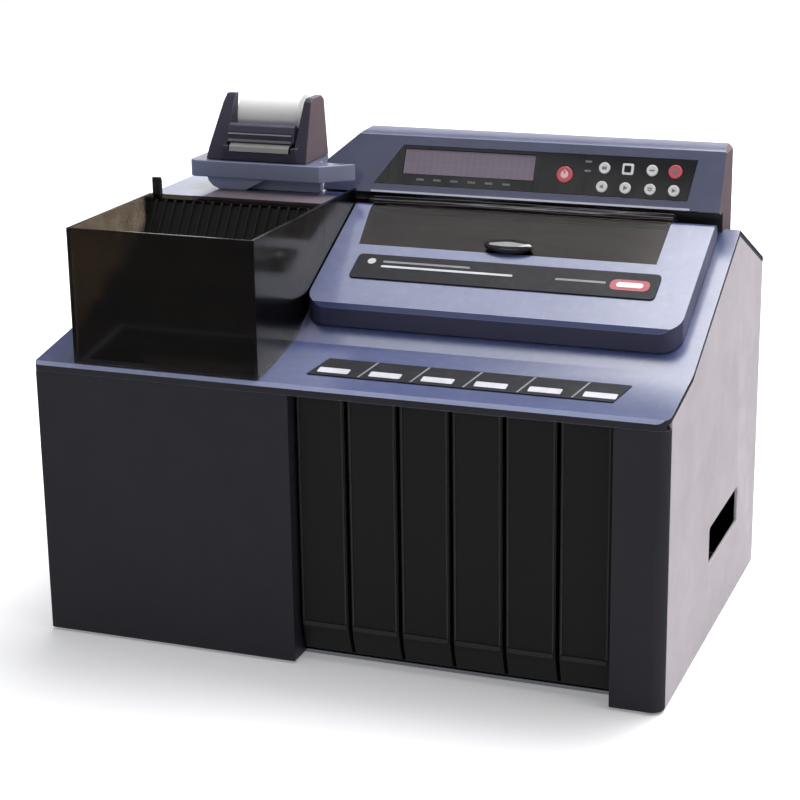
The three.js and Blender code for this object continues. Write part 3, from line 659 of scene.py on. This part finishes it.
def window_knob():
    """A glossy oval button, domed and undercut."""
    low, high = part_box("window_knob")
    across = (high.x - low.x) / 2 / MM
    centre_x = (high.x + low.x) / 2 / MM
    matrix = LID_PLANE @ Matrix.Translation((centre_x, lid_s(173), LID_TOP))
    profile = [
        (across - 2, 0.3), (across - 1.2, 1.4), (across - 0.4, 2.4),
        (across, 3.4), (across - 0.5, 4.4), (across - 2.2, 5.2),
        (across - 5, 5.7), (across - 10, 6.0), (across - 16, 6.1),
    ]
    bm = bmesh.new()
    add_turned(bm, profile, matrix, 48, squeeze=0.34)
    made = piece("window_knob_domed", bm, [KNOB_BLACK], "coin_window")
    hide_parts("window_knob")


def badge_marks():
    """Plain bars and a coloured tab on the badge, with no lettering."""
    low, high = LID_TOP + 1.1, LID_TOP + 1.3
    s0 = lid_s(127)
    marks = (
        (circle(-24, s0 + 22.4, 3.6, 24), 0),
        (rounded(-14, 62, s0 + 21.4, s0 + 23.8, 1.1), 1),
        (rounded(-14, 100, s0 + 15.4, s0 + 17.9, 1.1), 0),
        (rounded(136, 178, s0 + 15.5, s0 + 18, 1.2), 1),
        (rounded(182, 214, s0 + 9, s0 + 22, 5), 2),
    )
    bm = bmesh.new()
    for outline, look in marks:
        add_slab(bm, outline, low, high, LID_PLANE, look)
    add_slab(bm, rounded(187, 209, s0 + 12.5, s0 + 18.5, 2.6), high, high + 0.2, LID_PLANE, 3)
    looks = [PALE_PRINT, GREY_PRINT, RED_TAB, PINK_PRINT]
    piece("badge_marks", bm, looks, "lid")


def label_strip():
    """Six framed cards over the drawers, parted by pale slanted bars."""
    s0, s1 = nose_s(22), nose_s(51)
    strip_top, bar_width, lean = 0.9, 1.6, 7.5 / (s1 - s0)
    bm = bmesh.new()
    strip = [(-32, s0), (217, s0), (224, s1), (-24, s1)]
    add_slab(bm, strip, 0.3, strip_top, NOSE_PLANE, 0)
    for i in range(DRAWER_COUNT):
        left = FIRST_FIN + i * DRAWER_PITCH + 6.5
        if i:
            foot, drift = left - 1.2, lean * (s1 - s0 - 2)
            bar = [(foot, s0 + 1), (foot + bar_width, s0 + 1),
                   (foot + bar_width + drift, s1 - 1), (foot + drift, s1 - 1)]
            add_slab(bm, bar, strip_top, 1.1, NOSE_PLANE, 1)
        card = rounded(left + 7, left + 33, s0 + 4, s0 + 12.5, 1.2)
        add_slab(bm, card, strip_top, 1.2, NOSE_PLANE, 2)
    made = piece("label_cards", bm, [FILM, GREY_PRINT, CARD], "chassis")
    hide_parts("label_strip")


# ---- console ----
def console_zone(place, normal):
    """The glossy strip over the hinge with its painted glints, and the console's right end tinted
    warm as a painted reflection.
    """
    if within(place, at(-57, 223, 331), at(214, 236.5, 346)):
        return 1
    return 2 if normal.x > 0.7 else 0


def console():
    looks = [LOOKS["console_shell"], HINGE_PAINTED_GLINTS, PAINTED_WARM_REFLECTION]
    refined("console_shell", 1.2, 3, looks=looks, region=console_zone)
    refined("display_panel", 0.3)
    refined("lcd_screen", 0.3)
    panel_marks()
    lip_painted_highlight_bead()
    hinge_glint_ridges()
    for name, spot in key_spots().items():
        key_cap(name, *spot)


def panel_marks():
    """Short printed bars under the display and two lamps beside the power button."""
    bm = bmesh.new()
    for i in range(6):
        left = -14 + i * 15.5
        add_slab(bm, rounded(left, left + 7, 12.4, 14.2, 0.6), -0.2, -0.1, FACE_PLANE)
    for s in (29, 37):
        add_slab(bm, rounded(133.5, 139, s - 0.9, s + 0.9, 0.5), -0.2, 0.1, FACE_PLANE)
    piece("panel_marks", bm, [GREY_PRINT], "chassis")


def lip_painted_highlight_bead():
    """The bead along the foot of the console's face, pale as a painted highlight."""
    bm = bmesh.new()
    add_slab(bm, rounded(-54, 226, 0.3, 2.0, 0.8, 3), -0.3, 0.6, FACE_PLANE, 0, 0.4)
    piece("console_lip_painted_highlight", bm, [LIP_PAINTED_HIGHLIGHT], "chassis")


def hinge_glint_ridges():
    """Thin wavy ridges moulded along the strip that covers the hinge, pale as painted glints."""
    foot, crest, pitch = 5.9, 6.25, 4
    section = ((foot, -1), (crest, -0.6), (crest, 0.6), (foot, 1))
    bm = bmesh.new()
    # Each ridge's place round the strip and its swing, in degrees, its wave in millimetres a
    # radian, and its width in degrees.
    for start, swing, wave, width in ((4, 5, 31, 5), (27, 6, 47, 8), (55, 4, 38, 5)):
        rings = []
        for i in range(67):
            x = -52 + i * pitch
            turn = start + swing * math.sin(x / wave) + 2 * math.sin(x / 9 + start)
            ring = []
            for radius, side in section:
                angle = math.radians(turn + side * width / 2)
                y = HINGE_AXIS[0] - radius * math.cos(angle)
                ring.append(at(x, y, HINGE_AXIS[1] + radius * math.sin(angle)))
            rings.append(ring)
        add_rings(bm, rings)
    piece("hinge_glint_ridges", bm, [PAINTED_GLINT_RIDGE], "chassis")


def key_spots():
    """Each key's place on the console's face, in millimetres, and its radius."""
    rim = 1.2
    back = FACE_PLANE.inverted()
    spots = {}
    for name in NODES:
        if name.startswith("key_") or name == "power_button":
            low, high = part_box(name)
            middle = back @ ((low + high) / 2)
            spots[name] = (middle.x, middle.y, (high.x - low.x) / 2 / MM - rim)
    return spots


ICONS = {
    "power_button": [circle(0, 0, 3.4, 24), rounded(-0.6, 0.6, 0.6, 4.4, 0.3)],
    "key_print": [rounded(-2, 2, -1.4, 1, 0.4)],
    "key_clear": [rounded(-2.2, 2.2, -0.45, 0.45, 0.3)],
    "key_left": [[(-2, 0), (1.2, -1.8), (1.2, 1.8)]],
    "key_right": [[(2, 0), (-1.2, 1.8), (-1.2, -1.8)]],
    "key_mode": [rounded(-1.8, 1.8, 0.6, 1.3, 0.2), rounded(-1.8, 1.8, -1.3, -0.6, 0.2)],
    "key_start": [[(-1.3, -1.8), (1.9, 0), (-1.3, 1.8)]],
    "key_stop": [rounded(-1.8, 1.8, -1.8, 1.8, 0.3)],
}


def key_cap(name, x, s, radius):
    """A moulded key with a shallow dish, rounded rim and a plain printed sign."""
    foot = -2.8
    matrix = FACE_PLANE @ Matrix.Translation((x, s, 0))
    sign_look = GREY_PRINT
    bm = bmesh.new()
    if name == "key_select":
        add_slab(bm, rounded(-radius, radius, -radius, radius, 1.4), foot, 1.3, matrix, 0, 0.5)
        add_slab(bm, rounded(-2.9, 2.9, -2.9, 2.9, 0.8), 1.3, 1.36, matrix, 1)
        sign_look = LOOKS["gloss_panel"]
    else:
        profile = [
            (radius, foot), (radius, 0.8), (radius - 0.2, 1.15), (radius - 0.6, 1.35),
            (radius - 1.0, 1.4), (radius - 1.6, 1.3), (radius * 0.45, 1.12), (radius * 0.1, 1.08),
        ]
        add_turned(bm, profile, matrix, 40)
        for outline in ICONS[name]:
            add_slab(bm, outline, 1.0, 1.32, matrix, 1)
        if name == "power_button":
            sign_look = PINK_PRINT
    made = piece(f"{name}_cap", bm, [LOOKS[SLOTS[name]], sign_look], name)
    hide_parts(name)


# ---- slip printer ----
def platform_zone(place, normal):
    """The printer platform's slate top, and its pedestal and sides made paler as painted light.
    """
    if place.z < 356 * MM:
        return 1
    return 2 if normal.z > 0.7 else 0


def housing_zone(place, normal):
    """The outer face of the printer's right ear, tinted warm as a painted reflection."""
    return normal.x > 0.7 and place.x > -112 * MM


def printer():
    platform_looks = [PLATFORM_PAINTED_LIGHT, PEDESTAL_PAINTED_LIGHT, LOOKS["console_shell"]]
    refined("rear_shelf", 1.0, 3)
    refined("printer_platform", 1.0, 3, looks=platform_looks, region=platform_zone)
    refined("printer_housing", 0.8, 3, looks=[PRINTER_SHELL, PAINTED_WARM_REFLECTION], region=housing_zone)
    refined("printer_head", 0.6, 3, looks=[PRINTER_SHELL])
    refined("platen_roller", 0.3)
    refined("paper_strip", 0.1, 1, looks=[PAPER_PAINTED_SHADE])
    refined("paper_roll", 0.3)
    shelf_painted_shade_pad()
    tear_blade()


def shelf_painted_shade_pad():
    """A dark pad on the shelf behind the hopper, standing in for the shade under the printer
    platform: painted shade.
    """
    bm = bmesh.new()
    add_slab(bm, rounded(-188, -77, 156, 202, 3), 0.25, 1.0, plane(0, 345, 0), 0, 0.4)
    piece("shelf_painted_shade_pad", bm, [PAINTED_SHADE_PAD], "chassis")


def tear_blade():
    """A serrated steel blade under the print head's nose, and a pale line at its cover's edge, a
    painted highlight.
    """
    nose = facing(at(0, 207.9, 0), (1, 0, 0), (0, 0, 1))
    left, right, top = -181, -121, 389.6
    teeth = [(left + i, 386.9 + (i % 2) * 0.9) for i in range(right - left + 1)]
    bm = bmesh.new()
    add_slab(bm, [*teeth, (right, top), (left, top)], 0, 0.4, nose, 0)
    add_slab(bm, rounded(left, right + 0.5, 393.8, 394.9, 0.4, 3), -0.3, 0.3, nose, 1)
    piece("tear_blade", bm, [LOOKS["steel"], PAINTED_GLINT_RIDGE], "chassis")


# ---- rear ----
def add_screw(bm, matrix):
    """A pan head with its cross recess drawn as a black cross, painted shade for the hollow."""
    radius = 3.4
    profile = [(radius, 0.0), (radius, 0.6), (radius * 0.86, 1.2), (radius * 0.5, 1.6),
               (radius * 0.12, 1.7)]
    add_turned(bm, profile, matrix, 24)
    long, short = radius * 0.62, 0.45
    # The black cross is painted shade for the recess.
    add_slab(bm, rounded(-long, long, -short, short, 0.3, 2), 1.3, 1.72, matrix, 1)
    add_slab(bm, rounded(-short, short, -long, long, 0.3, 2), 1.3, 1.74, matrix, 1)


def rear():
    refined("power_inlet", 0.4)
    refined("power_switch", 0.4)
    rear_screws()
    inlet_pins()


def rear_screws():
    """Six screws round the rear panel."""
    low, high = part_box("rear_panel")
    inset = 8 * MM
    bm = bmesh.new()
    for x in (low.x + inset, high.x - inset):
        for z in (low.z + inset, (low.z + high.z) / 2, high.z - inset):
            add_screw(bm, facing((x, high.y, z), (-1, 0, 0), (0, 0, 1)))
    piece("rear_screws", bm, [NICKEL, LOOKS["gloss_panel"]], "chassis")


def inlet_pins():
    """The three flat pins of the mains inlet."""
    inlet_x, inlet_floor = -215, 326.4
    pin = rounded(-0.9, 0.9, -1.8, 1.8, 0.3, 2)
    bm = bmesh.new()
    for x, z in ((-5, 40.5), (5, 40.5), (0, 44)):
        spot = facing(at(x + inlet_x, inlet_floor, z), (-1, 0, 0), (0, 0, 1))
        add_slab(bm, pin, 0, 9, spot)
    piece("inlet_pins", bm, [NICKEL], "chassis")


casing()
drawers()
hopper()
lid()
label_strip()
console()
printer()
rear()


# ---- floor and light ----
def add_floor():
    """A wide pale floor that shows in no reflection."""
    half = 30.0
    corners = [(-half, -half, 0), (half, -half, 0), (half, half, 0), (-half, half, 0)]
    bm = bmesh.new()
    bm.faces.new([bm.verts.new(c) for c in corners])
    mesh = bpy.data.meshes.new("floor")
    bm.to_mesh(mesh)
    bm.free()
    look = Look("floor")
    tone = look.remap(look.noise(3), 0.3, 0.7, 0.0, 1.0)
    look.paint(look.mix(tone, srgb(246, 246, 247), srgb(249, 249, 250)))
    look.set(roughness=0.9, specular_ior_level=0.1)
    look.set(emission_color=(1, 1, 1, 1), emission_strength=0.2)
    mesh.materials.append(look.material)
    floor = bpy.data.objects.new("floor", mesh)
    bpy.context.scene.collection.objects.link(floor)
    floor.visible_glossy = False


def softbox(name, place, target, size, radiance, colour=(1, 1, 1), turn=0.0):
    """A one-sided light panel, out of the camera's sight."""
    data = bpy.data.lights.new(name, "AREA")
    data.shape = "RECTANGLE"
    data.size, data.size_y = size
    data.energy = radiance * math.pi * size[0] * size[1]
    data.color = colour
    lamp = bpy.data.objects.new(name, data)
    bpy.context.scene.collection.objects.link(lamp)
    lamp.location = place
    aim = (Vector(target) - Vector(place)).to_track_quat("-Z", "Y").to_matrix()
    lamp.rotation_euler = (aim @ Matrix.Rotation(math.radians(turn), 3, "Z")).to_euler()
    lamp.visible_camera = False


def add_daylight(strength, spread, direction):
    """Even soft light over the whole floor, which shows in no reflection."""
    data = bpy.data.lights.new("daylight", "SUN")
    data.energy = strength
    data.angle = math.radians(spread)
    lamp = bpy.data.objects.new("daylight", data)
    bpy.context.scene.collection.objects.link(lamp)
    lamp.rotation_euler = Vector(direction).to_track_quat("Z", "Y").to_euler()
    lamp.visible_glossy = False


def add_light():
    """A pale studio: even daylight, panels overhead that the deck mirrors, and weak fills."""
    world = bpy.data.worlds.new("studio")
    bpy.context.scene.world = world
    world.use_nodes = True
    background = world.node_tree.nodes["Background"]
    background.inputs["Color"].default_value = (0.92, 0.94, 1.0, 1)
    background.inputs["Strength"].default_value = 0.22
    add_daylight(2.2, 70, (0.25, 0.3, 0.9))
    softbox("overhead", (0.47, 1.2, 1.85), (0.47, 1.2, 0), (1.1, 2.2), 7.0, turn=-12)
    softbox("overhead_edge", (-0.47, 0.55, 1.85), (-0.47, 0.55, 0), (0.6, 0.6), 3.0)
    softbox("right", (2.4, -0.2, 1.0), (0.2, 0, 0.2), (1.4, 1.4), 1.0, (1.0, 0.9, 0.88))
    softbox("back", (-0.3, 3.2, 1.0), (0, 0, 0.35), (3.2, 1.6), 1.2)
    softbox("front", (-0.8, -3.0, 2.2), (0, 0, 0.2), (1.4, 1.0), 1.0)
    bpy.context.scene.view_settings.view_transform = "Standard"


add_floor()
add_light()
